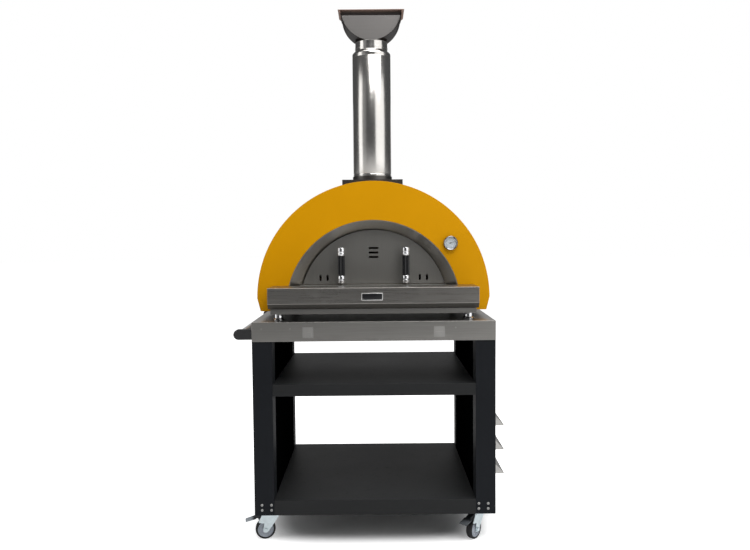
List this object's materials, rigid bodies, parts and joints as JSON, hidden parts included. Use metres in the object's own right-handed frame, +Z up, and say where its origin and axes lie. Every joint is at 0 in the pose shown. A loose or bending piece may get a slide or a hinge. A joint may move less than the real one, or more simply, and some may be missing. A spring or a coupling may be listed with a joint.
{
  "type": "wood fired pizza oven",
  "caption": "Vaulted wood fired pizza oven with a lift-off door, thermometer and tall flue, standing on a steel cart with two shelves and casters.",
  "frame": {"origin": "on the floor under the middle of the whole object's footprint", "axes": "+Z up, -Y towards the cook at the oven's mouth, +X to the right"},
  "size_m": [1.1499, 0.8251, 2.261],
  "materials": {
    "brushed_stainless": "brushed",
    "polished_stainless": "polished",
    "dark_stainless": "satin",
    "charcoal_powder_coat": "satin powder coat",
    "yellow_enamel": "satin enamel",
    "firebrick": "matte",
    "ceramic_fibre": "matte",
    "polished_chrome": "polished",
    "bright_zinc": "zinc plated",
    "black_plastic": "satin",
    "gloss_grip": "gloss",
    "dial_enamel": "satin",
    "needle_paint": "satin",
    "lens_glass": "clear",
    "grey_hub": "satin",
    "black_rubber": "matte"
  },
  "bodies": {
    "root": {"counter": "brushed_stainless", "top_frame": "charcoal_powder_coat", "front_left_leg": "charcoal_powder_coat", "front_right_leg": "charcoal_powder_coat", "rear_left_leg": "charcoal_powder_coat", "rear_right_leg": "charcoal_powder_coat", "left_side_panel": "charcoal_powder_coat", "right_side_panel": "charcoal_powder_coat", "upper_shelf": "charcoal_powder_coat", "lower_shelf": "charcoal_powder_coat", "leg_bolts": "bright_zinc", "apron_plates": "brushed_stainless", "push_handle_bar": "brushed_stainless", "push_handle_brackets": "black_plastic", "side_racks": "brushed_stainless", "oven_feet": "polished_chrome", "base_pan": "brushed_stainless", "base_insulation": "ceramic_fibre", "hearth_stones": "firebrick", "refractory_vault": "firebrick", "insulation_blanket": "ceramic_fibre", "outer_shell": "yellow_enamel", "front_plate": "yellow_enamel", "back_panel": "yellow_enamel", "mouth_throat": "brushed_stainless", "landing_shelf": "brushed_stainless", "nameplate": "black_plastic", "flue_collar": "brushed_stainless", "flue_pipe": "polished_stainless", "flue_cap": "brushed_stainless", "cap_plates": "brushed_stainless", "thermometer_case": "polished_chrome", "thermometer_dial": "dial_enamel", "thermometer_lens": "lens_glass", "front_left_caster_plate": "bright_zinc", "front_right_caster_plate": "bright_zinc", "rear_left_caster_plate": "bright_zinc", "rear_right_caster_plate": "bright_zinc"},
    "door": {"door_panel": "dark_stainless", "handle_mounts": "polished_chrome", "door_grips": "gloss_grip"},
    "gauge_needle": {"thermometer_needle": "needle_paint"},
    "front_left_swivel": {"front_left_caster_fork": "bright_zinc", "front_left_caster_axle": "bright_zinc"},
    "front_left_wheel": {"front_left_caster_wheel": "grey_hub", "front_left_caster_tyre": "black_rubber"},
    "front_left_pedal": {"front_left_brake_pedal": "black_plastic"},
    "front_right_swivel": {"front_right_caster_fork": "bright_zinc", "front_right_caster_axle": "bright_zinc"},
    "front_right_wheel": {"front_right_caster_wheel": "grey_hub", "front_right_caster_tyre": "black_rubber"},
    "front_right_pedal": {"front_right_brake_pedal": "black_plastic"},
    "rear_left_swivel": {"rear_left_caster_fork": "bright_zinc", "rear_left_caster_axle": "bright_zinc"},
    "rear_left_wheel": {"rear_left_caster_wheel": "grey_hub", "rear_left_caster_tyre": "black_rubber"},
    "rear_right_swivel": {"rear_right_caster_fork": "bright_zinc", "rear_right_caster_axle": "bright_zinc"},
    "rear_right_wheel": {"rear_right_caster_wheel": "grey_hub", "rear_right_caster_tyre": "black_rubber"}
  },
  "joints": [
    {"name": "door_pull", "type": "slide", "parent": "root", "child": "door", "axis": [0, -1, 0], "range_m": [0, 0.3]},
    {"name": "needle_turn", "type": "hinge", "parent": "root", "child": "gauge_needle", "pos_m": [0.332, -0.26, 1.253], "axis": [0, 1, 0], "range_deg": [-207, 63]},
    {"name": "front_left_swivel_turn", "type": "hinge", "parent": "root", "child": "front_left_swivel", "pos_m": [-0.438, -0.314, 0.116], "axis": [0, 0, 1], "continuous": true},
    {"name": "front_left_wheel_spin", "type": "hinge", "parent": "front_left_swivel", "child": "front_left_wheel", "pos_m": [-0.4693, -0.32065, 0.0425], "axis": [-0.2079, 0.9781, 0], "continuous": true},
    {"name": "front_left_brake", "type": "hinge", "parent": "front_left_swivel", "child": "front_left_pedal", "pos_m": [-0.47615, -0.32211, 0.108], "axis": [-0.2079, 0.9781, 0], "range_deg": [-15, 0]},
    {"name": "front_right_swivel_turn", "type": "hinge", "parent": "root", "child": "front_right_swivel", "pos_m": [0.438, -0.314, 0.116], "axis": [0, 0, 1], "continuous": true},
    {"name": "front_right_wheel_spin", "type": "hinge", "parent": "front_right_swivel", "child": "front_right_wheel", "pos_m": [0.41743, -0.33851, 0.0425], "axis": [-0.766, 0.6428, 0], "continuous": true},
    {"name": "front_right_brake", "type": "hinge", "parent": "front_right_swivel", "child": "front_right_pedal", "pos_m": [0.41293, -0.34388, 0.108], "axis": [-0.766, 0.6428, 0], "range_deg": [-15, 0]},
    {"name": "rear_left_swivel_turn", "type": "hinge", "parent": "root", "child": "rear_left_swivel", "pos_m": [-0.438, 0.314, 0.116], "axis": [0, 0, 1], "continuous": true},
    {"name": "rear_left_wheel_spin", "type": "hinge", "parent": "rear_left_swivel", "child": "rear_left_wheel", "pos_m": [-0.46891, 0.32228, 0.0425], "axis": [0.2588, 0.9659, 0], "continuous": true},
    {"name": "rear_right_swivel_turn", "type": "hinge", "parent": "root", "child": "rear_right_swivel", "pos_m": [0.438, 0.314, 0.116], "axis": [0, 0, 1], "continuous": true},
    {"name": "rear_right_wheel_spin", "type": "hinge", "parent": "rear_right_swivel", "child": "rear_right_wheel", "pos_m": [0.46807, 0.32494, 0.0425], "axis": [0.342, -0.9397, 0], "continuous": true}
  ]
}
